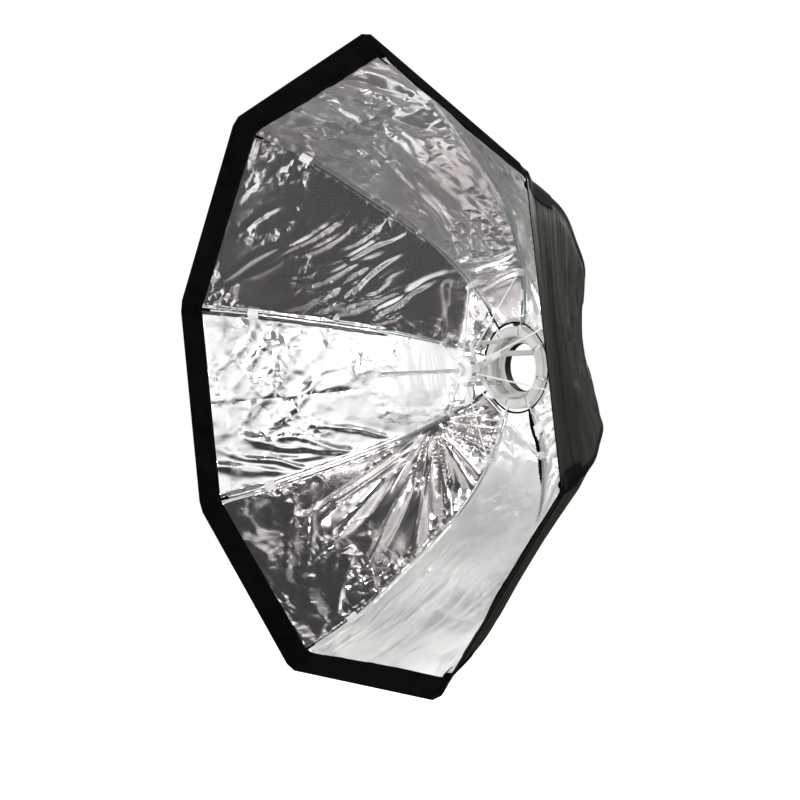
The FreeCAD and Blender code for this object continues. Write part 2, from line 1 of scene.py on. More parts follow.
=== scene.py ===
import math
from collections import namedtuple
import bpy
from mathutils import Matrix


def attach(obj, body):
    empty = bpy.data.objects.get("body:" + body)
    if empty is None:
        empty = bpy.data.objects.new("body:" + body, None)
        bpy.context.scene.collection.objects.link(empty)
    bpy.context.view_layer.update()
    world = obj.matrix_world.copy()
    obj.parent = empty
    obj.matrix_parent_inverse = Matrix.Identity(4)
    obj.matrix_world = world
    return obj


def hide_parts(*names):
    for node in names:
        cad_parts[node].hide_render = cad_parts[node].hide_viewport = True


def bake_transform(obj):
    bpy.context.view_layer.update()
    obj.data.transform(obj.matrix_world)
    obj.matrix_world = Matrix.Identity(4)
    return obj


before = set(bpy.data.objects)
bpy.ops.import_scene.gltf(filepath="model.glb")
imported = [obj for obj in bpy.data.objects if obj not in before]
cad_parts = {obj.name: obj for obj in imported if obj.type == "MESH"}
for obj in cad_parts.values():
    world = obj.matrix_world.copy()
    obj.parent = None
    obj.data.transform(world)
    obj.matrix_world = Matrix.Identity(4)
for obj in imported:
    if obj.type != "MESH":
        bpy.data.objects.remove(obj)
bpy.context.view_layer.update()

from types import SimpleNamespace

import bmesh
import bpy
import numpy as np
from mathutils import Matrix, Vector

# Driving dimensions, in metres, the same as in the CAD model. The rib's profile and the lip's edge
# are distances from the axis and in front of the hinges, as shares of the canopy's radius.
RIB_COUNT = 8
CANOPY_RADIUS = 0.575
HINGE_RADIUS = 0.0719
HINGE_DEPTH = 0.027
ROOT_REACHES = (0.007, 0.034)
INNER_EDGE_RADIUS = 0.092
LINER_OFFSET = 0.0041
CANOPY_THICKNESS = 0.0016
ROD_RADIUS = 0.0022
RIB_PROFILE = (
    (0.240, 0.019),
    (0.340, 0.046),
    (0.450, 0.103),
    (0.590, 0.213),
    (0.730, 0.383),
    (0.860, 0.560),
    (0.944, 0.742),
)
LIP_EDGE = (1.0, 0.803)
HALF_PITCH = math.pi / RIB_COUNT
FORWARD = np.array([0.0, -1.0, 0.0])

# Canopy mesh density, and the shape of its cloth between the ribs.
ROWS_TO_LIP = 150
ROWS_OF_LIP = 10
COLUMNS = 50
COLUMN_CROWDING = 1.2
PANEL_SAGS = (0.007, 0.006, 0.007, 0.006, 0.008, 0.012, 0.020, 0.010)
SAG_LENGTH = 0.66
TAPE_HALF_WIDTH = 0.011
SLEEVE_START = 0.56
SLEEVE_HALF_WIDTH = 0.012
INNER_EDGE_CIRCLE = 0.0885
# Black cloth on the first rows at the inner edge: a binding, and painted shade for the gap between the cloth
# and the ring.
BINDING_AND_SHADE_DEPTH = 0.0022
CORNER_CUT = 0.0054
CORNER_CUT_WIDTH = 0.0135
CLOTH_SPACING = 1.3
SHARP_ANGLE = 0.9

# Dark openings of the liner: seams pulled open beside two ribs, where the black strip is also painted shadow
# of the rods, and the slit for the stand, which is on the b half of panel 5.
SHADOWED_GAP_RIBS = (2, 4)
SHADOWED_GAP_HALF_WIDTH = 0.0042
SHADOWED_GAP_LENGTH = 0.085
SLIT_HALF_PANEL = (5, 1)
SLIT_WIDTH = 0.015
SLIT_LENGTH = 0.18
SLIT_UNDER_RING = 0.03

# Sewn trim: places are shares of the canopy's radius, reaches are metres beside the rod.
TIE_HALF_LENGTH = 0.0115
OUTER_TIE_PLACE = 0.865
OUTER_TIE_REACH = (-0.0105, 0.0105)
INNER_TIE_PLACE = 0.250
INNER_TIE_REACHES = {2: (-0.026, 0.005), 4: (-0.005, 0.026), 6: (-0.026, 0.005), 8: (-0.005, 0.026)}
TIE_THICKNESS = 0.0007
TIE_OVER_ROD = ROD_RADIUS + 0.0016
TIE_OVER_SLEEVE = 0.0014
TIP_POCKET_HEIGHT = 0.0047
TIP_POCKET_BREADTH = 1.35 * TIP_POCKET_HEIGHT
TIP_POCKET_THICKNESS = 0.0006
CORNER_POCKET_LENGTH = 0.062
CORNER_POCKET_HALF_WIDTH = 0.019
CORNER_POCKET_THICKNESS = 0.0008
CORNER_POCKET_OVER_SHELL = CANOPY_THICKNESS + 0.0006

# Finish of each panel's liner: brightness, which is painted shade and painted reflection that differ from
# panel to panel, lean of its streaks, gloss, tint, metallic share.
PINKISH = (0.96, 0.90, 0.905)
GREENISH = (0.93, 0.95, 0.93)
LINER_LOOKS_AND_PAINTED_SHADES = (
    (1.0, -2.4, 0.15, PINKISH, 0.90),
    (0.86, -0.8, 0.14, PINKISH, 0.96),
    (1.0, 0.1, 0.16, GREENISH, 1.0),
    (0.82, -0.5, 0.14, PINKISH, 1.0),
    (0.98, 6.0, 0.28, GREENISH, 0.62),
    (1.0, -1.1, 0.26, GREENISH, 0.8),
    (0.96, 0.8, 0.2, PINKISH, 1.0),
    (0.92, -0.6, 0.2, GREENISH, 0.95),
)
BORE_RADIUS = 0.0497
BORE_BLACK = (0.008, 0.008, 0.008, 1.0)

FLOOR_HEIGHT = -1.35
FLOOR_REACH = 9.0


def rib_direction(number):
    """Angle of a rib from straight up, towards +X; rib 1 is at the upper right."""
    return HALF_PITCH - 2.0 * HALF_PITCH * (number - 1)


def radial(angle):
    """Unit vector away from the axis at an angle from straight up."""
    return np.array([math.sin(angle), 0.0, math.cos(angle)])


def tangential(angle):
    """Unit vector across the radial one, towards growing angle."""
    return np.array([math.cos(angle), 0.0, -math.sin(angle)])


# ---------------------------------------------------------------- rib profile

def natural_spline(points, samples):
    """Dense points of a natural cubic spline through a few points."""
    points = np.array(points, float)
    steps = np.linalg.norm(np.diff(points, axis=0), axis=1)
    knots = np.concatenate([[0.0], np.cumsum(steps)])
    count = len(points)
    system = np.zeros((count, count))
    right = np.zeros((count, points.shape[1]))
    system[0, 0] = 1.0
    system[-1, -1] = 1.0
    for i in range(1, count - 1):
        before, after = steps[i - 1], steps[i]
        system[i, i - 1] = before
        system[i, i] = 2.0 * (before + after)
        system[i, i + 1] = after
        rise_after = (points[i + 1] - points[i]) / after
        rise_before = (points[i] - points[i - 1]) / before
        right[i] = 6.0 * (rise_after - rise_before)
    bend = np.linalg.solve(system, right)
    where = np.linspace(0.0, knots[-1], samples)
    piece = np.clip(np.searchsorted(knots, where, side="right") - 1, 0, count - 2)
    width = steps[piece][:, None]
    left = (knots[piece + 1] - where)[:, None]
    gone = (where - knots[piece])[:, None]
    return (
        bend[piece] * left**3 / (6.0 * width)
        + bend[piece + 1] * gone**3 / (6.0 * width)
        + (points[piece] / width - bend[piece] * width / 6.0) * left
        + (points[piece + 1] / width - bend[piece + 1] * width / 6.0) * gone
    )


def rib_line():
    """Centre line of an open rib as (distance from axis, distance in front of hinges)."""
    hinge = np.array([HINGE_RADIUS, 0.0])
    profile = [np.array(share) * CANOPY_RADIUS for share in RIB_PROFILE]
    along = (profile[0] - hinge) / np.linalg.norm(profile[0] - hinge)
    root = [hinge + along * reach for reach in ROOT_REACHES]
    return natural_spline(root + profile, 1200)


def canopy_rows():
    """Rows of the canopy from its inner edge to the lip: points, outward normals, lip share."""
    line = rib_line()
    start = int(np.searchsorted(line[:, 0], INNER_EDGE_RADIUS))
    line = line[start:]
    lengths = np.concatenate([[0.0], np.cumsum(np.linalg.norm(np.diff(line, axis=0), axis=1))])
    picks = np.linspace(0.0, lengths[-1], ROWS_TO_LIP)
    main = np.stack([np.interp(picks, lengths, line[:, axis]) for axis in (0, 1)], axis=1)
    lip_end = np.array(LIP_EDGE) * CANOPY_RADIUS
    lip_shares = np.linspace(0.0, 1.0, ROWS_OF_LIP + 1)[1:]
    lip = main[-1] + (lip_end - main[-1]) * lip_shares[:, None]
    points = np.concatenate([main, lip])
    direction = np.gradient(points, axis=0)
    direction /= np.linalg.norm(direction, axis=1)[:, None]
    normals = np.stack([direction[:, 1], -direction[:, 0]], axis=1)
    lip_share = np.concatenate([np.zeros(ROWS_TO_LIP), lip_shares])
    travelled = np.concatenate([[0.0], np.cumsum(np.linalg.norm(np.diff(points, axis=0), axis=1))])
    return points, normals, lip_share, travelled


# ---------------------------------------------------------------- cloth relief

def smooth(low, high, value):
    """Soft step from 0 below one value to 1 above another."""
    share = np.clip((value - low) / (high - low), 0.0, 1.0)
    return share * share * (3.0 - 2.0 * share)


def lattice(x, y, seed):
    """Repeatable random value, from 0 to 1, for whole-number coordinates."""
    mixed = np.sin(x * 127.1 + y * 311.7 + seed * 74.7) * 43758.5453
    return mixed - np.floor(mixed)


def value_noise(x, y, seed):
    """Smooth noise from 0 to 1 with features one unit across."""
    column, row = np.floor(x), np.floor(y)
    u, v = x - column, y - row
    u = u * u * (3.0 - 2.0 * u)
    v = v * v * (3.0 - 2.0 * v)
    low = lattice(column, row, seed) * (1 - u) + lattice(column + 1, row, seed) * u
    high = lattice(column, row + 1, seed) * (1 - u) + lattice(column + 1, row + 1, seed) * u
    return low * (1 - v) + high * v


def creases(x, y, seed):
    """Sharp crumpled ridges, from 0 to 1."""
    bend_x = x + 0.9 * value_noise(x * 0.7, y * 0.7, seed + 11)
    bend_y = y + 0.9 * value_noise(x * 0.7, y * 0.7, seed + 23)
    total = np.zeros_like(x)
    for octave, weight in ((1.0, 0.6), (2.1, 0.3), (4.3, 0.1)):
        ridge = np.abs(2.0 * value_noise(bend_x * octave, bend_y * octave, seed + octave) - 1.0)
        total += weight * (1.0 - ridge)
    return total


Folds = namedtuple("Folds", "seed count place spread lean width height length")
Fan = namedtuple("Fan", "seed side start crowd reach height")
Patch = namedtuple("Patch", "place size strength", defaults=(1.0,))

# The larger folds of each panel's liner, and where it is crumpled. Places are metres across the
# panel from its middle and metres along it from its inner edge.
PANEL_FOLDS = {
    1: (
        Folds(11, 9, (0.05, 0.56), (0.14, 0.08), -2.4, 0.010, 0.0062, 0.08),
        Folds(12, 9, (0.0, 0.13), (0.05, 0.035), 0.05, 0.006, 0.0042, 0.14),
        Folds(13, 5, (-0.06, 0.30), (0.04, 0.08), 5.0, 0.012, 0.0040, 0.14),
    ),
    2: (
        Folds(21, 24, (-0.03, 0.40), (0.10, 0.19), -0.8, 0.0085, 0.0068, 0.11),
        Folds(22, 5, (0.02, 0.10), (0.03, 0.05), 0.6, 0.012, 0.0060, 0.08),
    ),
    3: (
        Folds(31, 9, (-0.12, 0.45), (0.03, 0.16), 3.2, 0.010, 0.0070, 0.16),
        Folds(32, 9, (0.02, 0.20), (0.05, 0.08), 0.1, 0.0045, 0.0028, 0.11),
        Folds(33, 10, (0.06, 0.50), (0.12, 0.12), -1.2, 0.013, 0.0060, 0.09),
    ),
    4: (
        Fan(41, 1, 0.15, 7.5, 0.40, 0.026),
        Folds(42, 7, (-0.02, 0.52), (0.12, 0.09), -0.7, 0.010, 0.0060, 0.12),
    ),
    5: (
        Folds(51, 7, (0.0, 0.22), (0.06, 0.10), 0.1, 0.016, 0.0030, 0.12),
        Folds(52, 12, (0.0, 0.46), (0.15, 0.12), 6.0, 0.009, 0.0052, 0.16),
        Folds(53, 6, (0.02, 0.06), (0.03, 0.04), -0.5, 0.009, 0.0060, 0.06),
    ),
}
PANEL_CRUMPLES = {
    1: (Patch((0.12, 0.42), (0.09, 0.22)), Patch((0.0, 0.58), (0.3, 0.13))),
    2: (Patch((0.10, 0.60), (0.1, 0.1), 0.35), Patch((0.0, 0.04), (0.1, 0.05))),
    3: (Patch((0.03, 0.50), (0.18, 0.17)),),
    4: (Patch((-0.05, 0.64), (0.2, 0.06)), Patch((0.0, 0.05), (0.1, 0.06))),
    5: (Patch((0.0, 0.5), (0.2, 0.15), 0.6), Patch((0.0, 0.04), (0.1, 0.06))),
}
# Panels 6 to 8 share one pattern, with other seeds and leans.
for left_panel, left_lean in ((6, -1.1), (7, 0.8), (8, -0.6)):
    PANEL_FOLDS[left_panel] = (
        Folds(10 * left_panel, 14, (0.0, 0.38), (0.10, 0.20), left_lean, 0.011, 0.0050, 0.12),
        Fan(10 * left_panel + 1, -1, 0.12, 7.0, 0.36, 0.012),
    )
    PANEL_CRUMPLES[left_panel] = (Patch((0.05, 0.5), (0.12, 0.14)), Patch((0.0, 0.04), (0.1, 0.05)))


def fold_relief(across, along, folds):
    """Long folds that lie side by side; their lean is how far they climb along per metre across."""
    random = np.random.default_rng(folds.seed)
    relief = np.zeros_like(across)
    for _ in range(folds.count):
        from_middle = across - (folds.place[0] + random.uniform(-folds.spread[0], folds.spread[0]))
        up_from_middle = along - (folds.place[1] + random.uniform(-folds.spread[1], folds.spread[1]))
        turn = math.atan(folds.lean) + random.uniform(-0.14, 0.14)
        along_fold = from_middle * math.cos(turn) + up_from_middle * math.sin(turn)
        from_fold = up_from_middle * math.cos(turn) - from_middle * math.sin(turn)
        wave = 0.004 * np.sin(along_fold * random.uniform(25, 50) + random.uniform(0, 6))
        bend = random.uniform(-0.5, 0.5) * along_fold**2
        size = folds.width * random.uniform(0.6, 1.5)
        distance = (from_fold - wave - bend) / size
        reach = folds.length * random.uniform(0.6, 1.3)
        fade = np.clip(1.0 - (along_fold / reach) ** 2, 0.0, 1.0) ** 1.3
        ridge = np.exp(-np.abs(distance) ** 1.4) - 0.4 * np.exp(-((distance / 2.2) ** 2))
        relief += folds.height * random.uniform(0.5, 1.2) * fade * ridge
    return relief


def fan_relief(across, along, fan):
    """Straight pleats that fan out from a point on one of the panel's ribs."""
    from_rib = (INNER_EDGE_RADIUS + fan.start) * math.sin(HALF_PITCH) - fan.side * across
    angle = np.arctan2(along - fan.start, np.maximum(from_rib, 1e-4))
    distance = np.hypot(along - fan.start, from_rib)
    turn = value_noise(angle * fan.crowd + 9.0, distance * 3.0, fan.seed)
    ridge = 1.0 - np.abs(2.0 * turn - 1.0)
    fade = 1.0 - smooth(0.6 * fan.reach, fan.reach, distance)
    return fan.height * ((ridge - 0.5) * smooth(0.02, 0.08, distance) * fade)


def patch_share(across, along, patch):
    """How crumpled a soft-edged region makes the cloth; it is strongest in the region's middle."""
    aside = ((across - patch.place[0]) / patch.size[0]) ** 2
    ahead = ((along - patch.place[1]) / patch.size[1]) ** 2
    return patch.strength * np.exp(-aside - ahead)


def panel_folds(across, along, panel):
    """The larger folds of a panel's liner, and how crumpled it is from place to place."""
    relief = np.zeros_like(across)
    for group in PANEL_FOLDS[panel]:
        shape = fold_relief if isinstance(group, Folds) else fan_relief
        relief += shape(across, along, group)
    crumple = sum(patch_share(across, along, patch) for patch in PANEL_CRUMPLES[panel])
    return relief, np.clip(crumple, 0.0, 1.0)


def seam_puckers(across, along, panel):
    """The short seam up the middle of each panel, with the cloth gathered along it."""
    seam = smooth(0.30, 0.36, along)
    line = -(0.0016 if panel == 3 else 0.0004) * np.exp(-((across / 0.0045) ** 2))
    gathers = 0.0012 * (creases(across * 12.0, along * 60.0, panel + 31.0) - 0.5)
    return seam * (line + gathers * np.exp(-((across / 0.016) ** 2)))


def liner_relief(across, along, to_rib, panel):
    """How far the liner stands in from its taut shape, in metres."""
    folds, crumple = panel_folds(across, along, panel)
    coarse = creases(across * 10.0, along * 10.0, panel * 7.0) - 0.6
    fine = creases(across * 30.0, along * 30.0, panel * 5.0 + 3.0) - 0.6
    drape = value_noise(across * 4.5 + 40, along * 4.5 + 40, panel + 2.0) - 0.5
    crumpled = 0.0150 * coarse * (0.12 + 0.88 * crumple) + 0.0046 * fine * (0.05 + 0.95 * crumple)
    relief = folds + crumpled + 0.006 * drape
    return relief * smooth(0.002, 0.03, to_rib) + seam_puckers(across, along, panel)


def shell_relief(across, along, to_rib, panel):
    """How far the outer cloth stands out from its taut shape, in metres."""
    rib_to_rib = 0.0050 * (creases(across * 1.6, along * 20.0, panel * 3.0 + 50.0) - 0.55)
    broad = 0.0060 * (value_noise(across * 3.0, along * 9.0, panel + 60.0) - 0.5)
    slanted = Folds(90 + panel, 5, (0.0, 0.35), (0.1, 0.25), 0.3, 0.012, 0.002, 0.12)
    relief = rib_to_rib + broad + fold_relief(across, along, slanted)
    return relief * smooth(0.008, 0.05, to_rib)


# ---------------------------------------------------------------- canopy

def slit_mask(panel, side, cloth):
    """Where the access slit for the stand lies: along one side of rib 6, near the ring."""
    if (panel, side) != SLIT_HALF_PANEL:
        return np.zeros_like(cloth.along, bool)
    share = (cloth.along + SLIT_UNDER_RING) / (SLIT_LENGTH + SLIT_UNDER_RING)
    width = SLIT_WIDTH * np.sin(np.pi * np.clip(share, 0.0, 1.0)) ** 0.7
    wander = 0.0035 + 0.002 * np.sin(cloth.along * 55.0)
    inside = np.abs(cloth.to_rib - wander - width / 2.0) < width / 2.0
    return inside & (cloth.along < SLIT_LENGTH)


def gap_and_shadow_mask(rib_number, cloth):
    """Where the liner has pulled away from a rib near the ring and the dark seam shows; the black strip is
    also the rod's painted shadow.
    """
    if rib_number not in SHADOWED_GAP_RIBS:
        return np.zeros_like(cloth.along, bool)
    width = SHADOWED_GAP_HALF_WIDTH * (1.0 - smooth(0.6 * SHADOWED_GAP_LENGTH, SHADOWED_GAP_LENGTH, cloth.along))
    return (cloth.to_rib < width) & (cloth.along < SHADOWED_GAP_LENGTH)


def half_panel_places(side):
    """Where each row and column of a half panel lies on the cloth, from its rib to its middle."""
    rows, normals, lip_share, travelled = canopy_rows()
    share = np.linspace(0.0, 1.0, COLUMNS + 1)[None, :] ** COLUMN_CROWDING
    half_width = rows[:, :1] * math.sin(HALF_PITCH)
    to_rib = half_width * share
    return SimpleNamespace(
        share=share,
        reach=rows[:, :1],
        depth=rows[:, 1:],
        normals=normals,
        to_rib=to_rib,
        across=(half_width - to_rib) * (-side),
        along=travelled[:, None] * np.ones_like(share),
        in_lip=lip_share[:, None] * np.ones_like(share),
    )


def sleeve_height(to_rib):
    """How far the liner's sleeve over a rod stands in from the rod's centre line."""
    shape = 1.0 - smooth(0.003, SLEEVE_HALF_WIDTH, to_rib)
    return (LINER_OFFSET + ROD_RADIUS + 0.001) * shape - LINER_OFFSET


def sleeve_puckers(cloth, panel):
    """How far the liner is gathered in beside the stitches of the sleeve."""
    gathers = 0.0034 * (creases(cloth.across * 40.0, cloth.along * 75.0, panel + 70.0) - 0.4)
    return gathers * np.exp(-(((cloth.to_rib - SLEEVE_HALF_WIDTH) / 0.008) ** 2))


def cloth_offsets(cloth, panel):
    """How far the liner and the outer cloth stand out from the ribs' centre lines."""
    body = 1.0 - smooth(0.0, 0.35, cloth.in_lip)
    away_from_ends = smooth(0.0, 0.05, cloth.along) * body
    bow = np.sin(np.pi * cloth.share / 2.0)
    sag = PANEL_SAGS[panel - 1] * bow * np.sin(np.pi * np.clip(cloth.along / SAG_LENGTH, 0.0, 1.0))
    relief = liner_relief(cloth.across, cloth.along, cloth.to_rib, panel) * away_from_ends
    shell = shell_relief(cloth.across, cloth.along, cloth.to_rib, panel) * away_from_ends
    on_rod = smooth(SLEEVE_START - 0.05, SLEEVE_START + 0.03, cloth.reach / CANOPY_RADIUS) * body
    sleeve = (LINER_OFFSET + sleeve_height(cloth.to_rib)) * on_rod
    inner = LINER_OFFSET - sag - relief - sleeve - sleeve_puckers(cloth, panel) * on_rod
    outer = LINER_OFFSET + CANOPY_THICKNESS - sag + shell
    outer = np.maximum(outer, inner + CANOPY_THICKNESS)
    taut = LINER_OFFSET * (1.0 - cloth.in_lip)
    in_lip = cloth.in_lip > 0
    return np.where(in_lip, taut, inner), np.where(in_lip, taut + CANOPY_THICKNESS, outer)


def half_panel_grids(cloth, panel, side):
    """Grids of points of the liner and of the outer cloth for half of a panel."""
    middle_angle = rib_direction(panel) - HALF_PITCH
    middle = radial(middle_angle)
    towards_rib = -side * tangential(middle_angle)
    circle = INNER_EDGE_CIRCLE / np.hypot(
        math.cos(HALF_PITCH), math.sin(HALF_PITCH) * (1.0 - cloth.share)
    )
    rounded = (circle - INNER_EDGE_RADIUS) * (1.0 - smooth(0.0, 0.03, cloth.along))
    at_corner = np.clip(1.0 - cloth.to_rib / CORNER_CUT_WIDTH, 0.0, 1.0)
    cut = CORNER_CUT * at_corner * smooth(0.65, 1.0, cloth.in_lip)
    grids = []
    for offset in cloth_offsets(cloth, panel):
        out = cloth.reach + rounded + offset * cloth.normals[:, :1] - cut
        front = cloth.depth + offset * cloth.normals[:, 1:]
        lateral = out * math.sin(HALF_PITCH) * (1.0 - cloth.share)
        grids.append(
            (out * math.cos(HALF_PITCH))[..., None] * middle
            + lateral[..., None] * towards_rib
            + (HINGE_DEPTH + front)[..., None] * FORWARD
        )
    return grids


def mesh_object(name, points, faces, slots, materials):
    """A smooth-shaded mesh object with one material index per face, crisp at its sharp edges."""
    mesh = bpy.data.meshes.new(name)
    mesh.from_pydata([tuple(point) for point in points], [], faces)
    for material in materials:
        mesh.materials.append(material)
    mesh.polygons.foreach_set("material_index", slots)
    mesh.polygons.foreach_set("use_smooth", [True] * len(faces))
    mesh.update()
    shape = bmesh.new()
    shape.from_mesh(mesh)
    bmesh.ops.recalc_face_normals(shape, faces=shape.faces)
    for edge in shape.edges:
        if len(edge.link_faces) == 2 and edge.calc_face_angle() > SHARP_ANGLE:
            edge.smooth = False
    shape.to_mesh(mesh)
    shape.free()
    thing = bpy.data.objects.new(name, mesh)
    bpy.context.scene.collection.objects.link(thing)
    return thing


def lay_out(piece, flat_place):
    """Texture coordinates in metres on the cloth laid flat."""
    mesh = piece.data
    layer = mesh.uv_layers.new(name="flat")
    corners = np.zeros(len(mesh.loops), int)
    mesh.loops.foreach_get("vertex_index", corners)
    layer.data.foreach_set("uv", flat_place[corners].ravel())


def cloth_faces(cloth, dark):
    """Faces of a half panel's closed shell, and which of its four finishes each face has."""
    liner, band, nylon, tape = range(4)
    count_rows, count_columns = cloth.along.shape
    faces, slots = [], []

    def add(corners, layers, slot):
        faces.append([
            (layer * count_rows + row) * count_columns + column
            for (row, column), layer in zip(corners, layers)
        ])
        slots.append(slot)

    for row in range(count_rows - 1):
        for column in range(count_columns - 1):
            quad = [(row, column), (row, column + 1), (row + 1, column + 1), (row + 1, column)]
            add(quad, (0, 0, 0, 0), band if dark[row, column] else liner)
            taped = cloth.to_rib[row, column + 1] < TAPE_HALF_WIDTH
            add(quad, (1, 1, 1, 1), tape if taped else nylon)
        for column in (0, count_columns - 1):
            side = [(row, column), (row + 1, column), (row + 1, column), (row, column)]
            add(side, (0, 0, 1, 1), band)
    for column in range(count_columns - 1):
        for row in (0, count_rows - 1):
            end = [(row, column), (row, column + 1), (row, column + 1), (row, column)]
            add(end, (0, 0, 1, 1), band)
    return faces, slots


def make_half_panel(panel, side, materials):
    """Half of a canopy panel: silver liner inside, black cloth outside, front lip."""
    half = f"{panel}_{'a' if side < 0 else 'b'}"
    rib_number = panel if side < 0 else panel % RIB_COUNT + 1
    cloth = half_panel_places(side)
    # Black cloth on the seams beside ribs 2 and 4 is also painted shadow of the rods.
    opened_and_shadowed = slit_mask(panel, side, cloth) | gap_and_shadow_mask(rib_number, cloth)
    # The first rows at the inner edge get black cloth: a binding, and painted shade for the gap at the ring.
    dark = (cloth.in_lip[1:, 1:] > 0) | opened_and_shadowed[:-1, 1:] | (cloth.along[:-1, 1:] < BINDING_AND_SHADE_DEPTH)
    faces, slots = cloth_faces(cloth, dark)
    points = np.concatenate([grid.reshape(-1, 3) for grid in half_panel_grids(cloth, panel, side)])
    piece = mesh_object(f"cloth_{half}", points, faces, slots, materials)
    flat_place = np.stack([cloth.across.ravel() + CLOTH_SPACING * panel, cloth.along.ravel()], axis=1)
    lay_out(piece, np.concatenate([flat_place, flat_place]))
    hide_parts(f"canopy_{half}")
    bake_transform(piece)


# ---------------------------------------------------------------- cloth trim

def in_space(points, out):
    """Places in space of (distance from axis, distance in front of hinges) in one direction."""
    return points[:, :1] * out + points[:, 1:] * FORWARD + HINGE_DEPTH * FORWARD


def rib_frame(number, radius_share, offsets):
    """Places on an open rib, at lengths along it from a radius, with its directions."""
    line = rib_line()
    lengths = np.concatenate([[0.0], np.cumsum(np.linalg.norm(np.diff(line, axis=0), axis=1))])
    start = np.interp(radius_share * CANOPY_RADIUS, line[:, 0], lengths)
    where = start + np.asarray(offsets)
    slope = np.gradient(line, axis=0)
    slope /= np.linalg.norm(slope, axis=1)[:, None]
    points = np.stack([np.interp(where, lengths, line[:, i]) for i in (0, 1)], axis=1)
    along = np.stack([np.interp(where, lengths, slope[:, i]) for i in (0, 1)], axis=1)
    points += along * np.maximum(where - lengths[-1], 0.0)[:, None]
    out = radial(rib_direction(number))
    inward = -along[:, 1:] * out + along[:, :1] * FORWARD
    return in_space(points, out), inward, out


def make_strip(name, number, points, lifts, thickness, material):
    """Closed thin strip on a rib: rows of points along it and the direction of its thickness."""
    points, lifts = np.array(points), np.array(lifts)
    count_rows, count_columns = points.shape[:2]
    both = np.concatenate([points.reshape(-1, 3), (points + lifts * thickness).reshape(-1, 3)])
    layer = count_rows * count_columns
    faces = []
    for row in range(count_rows - 1):
        for column in range(count_columns - 1):
            a = row * count_columns + column
            quad = (a, a + 1, a + 1 + count_columns, a + count_columns)
            faces.append(quad)
            faces.append(tuple(corner + layer for corner in quad))
    rim = [(r, 0) for r in range(count_rows)]
    rim += [(count_rows - 1, c) for c in range(1, count_columns)]
    rim += [(r, count_columns - 1) for r in range(count_rows - 2, -1, -1)]
    rim += [(0, c) for c in range(count_columns - 2, 0, -1)]
    for (r1, c1), (r2, c2) in zip(rim, rim[1:] + rim[:1]):
        a, b = r1 * count_columns + c1, r2 * count_columns + c2
        faces.append((a, b, b + layer, a + layer))
    piece = mesh_object(f"{name}_{number}", both, faces, [0] * len(faces), [material])
    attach(piece, f"rib_{number}")
    return piece


def tie_height(lateral, share):
    """How far a tie stands in from the rod's centre line, at a distance beside it."""
    beside = abs(lateral) / TIE_OVER_ROD
    if beside < 0.8:
        height = TIE_OVER_ROD * math.sqrt(1.0 - beside**2)
    else:
        height = 0.6 * TIE_OVER_ROD * math.exp(0.8 - beside)
    height -= 0.0008 * min(1.0, beside / 4.0)
    if share > SLEEVE_START:
        height = max(height, float(sleeve_height(abs(lateral))) + TIE_OVER_SLEEVE)
    return height


def make_tie(number, name, share, reach, material):
    """White cloth tie that loops over the rib and is sewn to the liner beside it."""
    offsets = np.linspace(-TIE_HALF_LENGTH, TIE_HALF_LENGTH, 9)
    places, inward, out = rib_frame(number, share, offsets)
    across = tangential(rib_direction(number))
    path = [(lateral, tie_height(lateral, share)) for lateral in np.linspace(*reach, 25)]
    points, lifts = [], []
    for row, (place, lift) in enumerate(zip(places, inward)):
        ripple = 0.0004 * math.sin(row * 1.3 + number)
        points.append([
            place + across * lateral + lift * (height + ripple) - out * abs(lateral) * math.tan(HALF_PITCH)
            for lateral, height in path
        ])
        lifts.append([lift] * len(path))
    strip = make_strip(name, number, points, lifts, TIE_THICKNESS, material)


def make_tip_pocket(number, material):
    """Narrow black pocket on the inside that the rib's tip is pushed into."""
    offsets = np.array([-0.018, -0.014, -0.010, -0.006, -0.002, 0.002, 0.0045, 0.006, 0.0068])
    closing = np.array([1.0, 1.0, 1.0, 1.0, 1.0, 1.0, 0.9, 0.6, 0.12])
    places, inward, _ = rib_frame(number, RIB_PROFILE[-1][0], offsets)
    aside = tangential(rib_direction(number)) * TIP_POCKET_BREADTH
    angles = np.linspace(-1.6, 1.6, 17)
    points = [
        [
            place + size * (aside * math.sin(angle) + lift * TIP_POCKET_HEIGHT * math.cos(angle))
            for angle in angles
        ]
        for place, lift, size in zip(places, inward, closing)
    ]
    lifts = [[lift] * len(angles) for lift in inward]
    strip = make_strip(
        "tip_pocket", number, points, lifts, TIP_POCKET_THICKNESS, material
    )


def make_corner_pocket(number, material):
    """Black tape pocket over the corner of the lip that holds the rib's tip."""
    offsets = np.linspace(-CORNER_POCKET_LENGTH, 0.0, 10)
    places, inward, out = rib_frame(number, RIB_PROFILE[-1][0], offsets)
    places = places - inward * (LINER_OFFSET + CORNER_POCKET_OVER_SHELL)
    shares = np.linspace(0.12, 0.70, 6)[:, None]
    lip_start = np.array(RIB_PROFILE[-1]) * CANOPY_RADIUS
    lip_end = np.array(LIP_EDGE) * CANOPY_RADIUS
    lip_places = in_space(lip_start + (lip_end - lip_start) * shares, out)
    lip_places = lip_places - inward[-1] * (LINER_OFFSET * (1.0 - shares) + CORNER_POCKET_OVER_SHELL)
    places = np.concatenate([places, lip_places])
    lifts = np.concatenate([inward, np.repeat(inward[-1:], len(lip_places), axis=0)])
    across = tangential(rib_direction(number))
    laterals = np.linspace(-CORNER_POCKET_HALF_WIDTH, CORNER_POCKET_HALF_WIDTH, 9)
    points = [
        [place + across * beside - out * abs(beside) * math.tan(HALF_PITCH) for beside in laterals]
        for place in places
    ]
    lowered = [[-lift] * len(laterals) for lift in lifts]
    strip = make_strip(
        "corner_pocket", number, points, lowered, CORNER_POCKET_THICKNESS, material
    )


# ---------------------------------------------------------------- materials

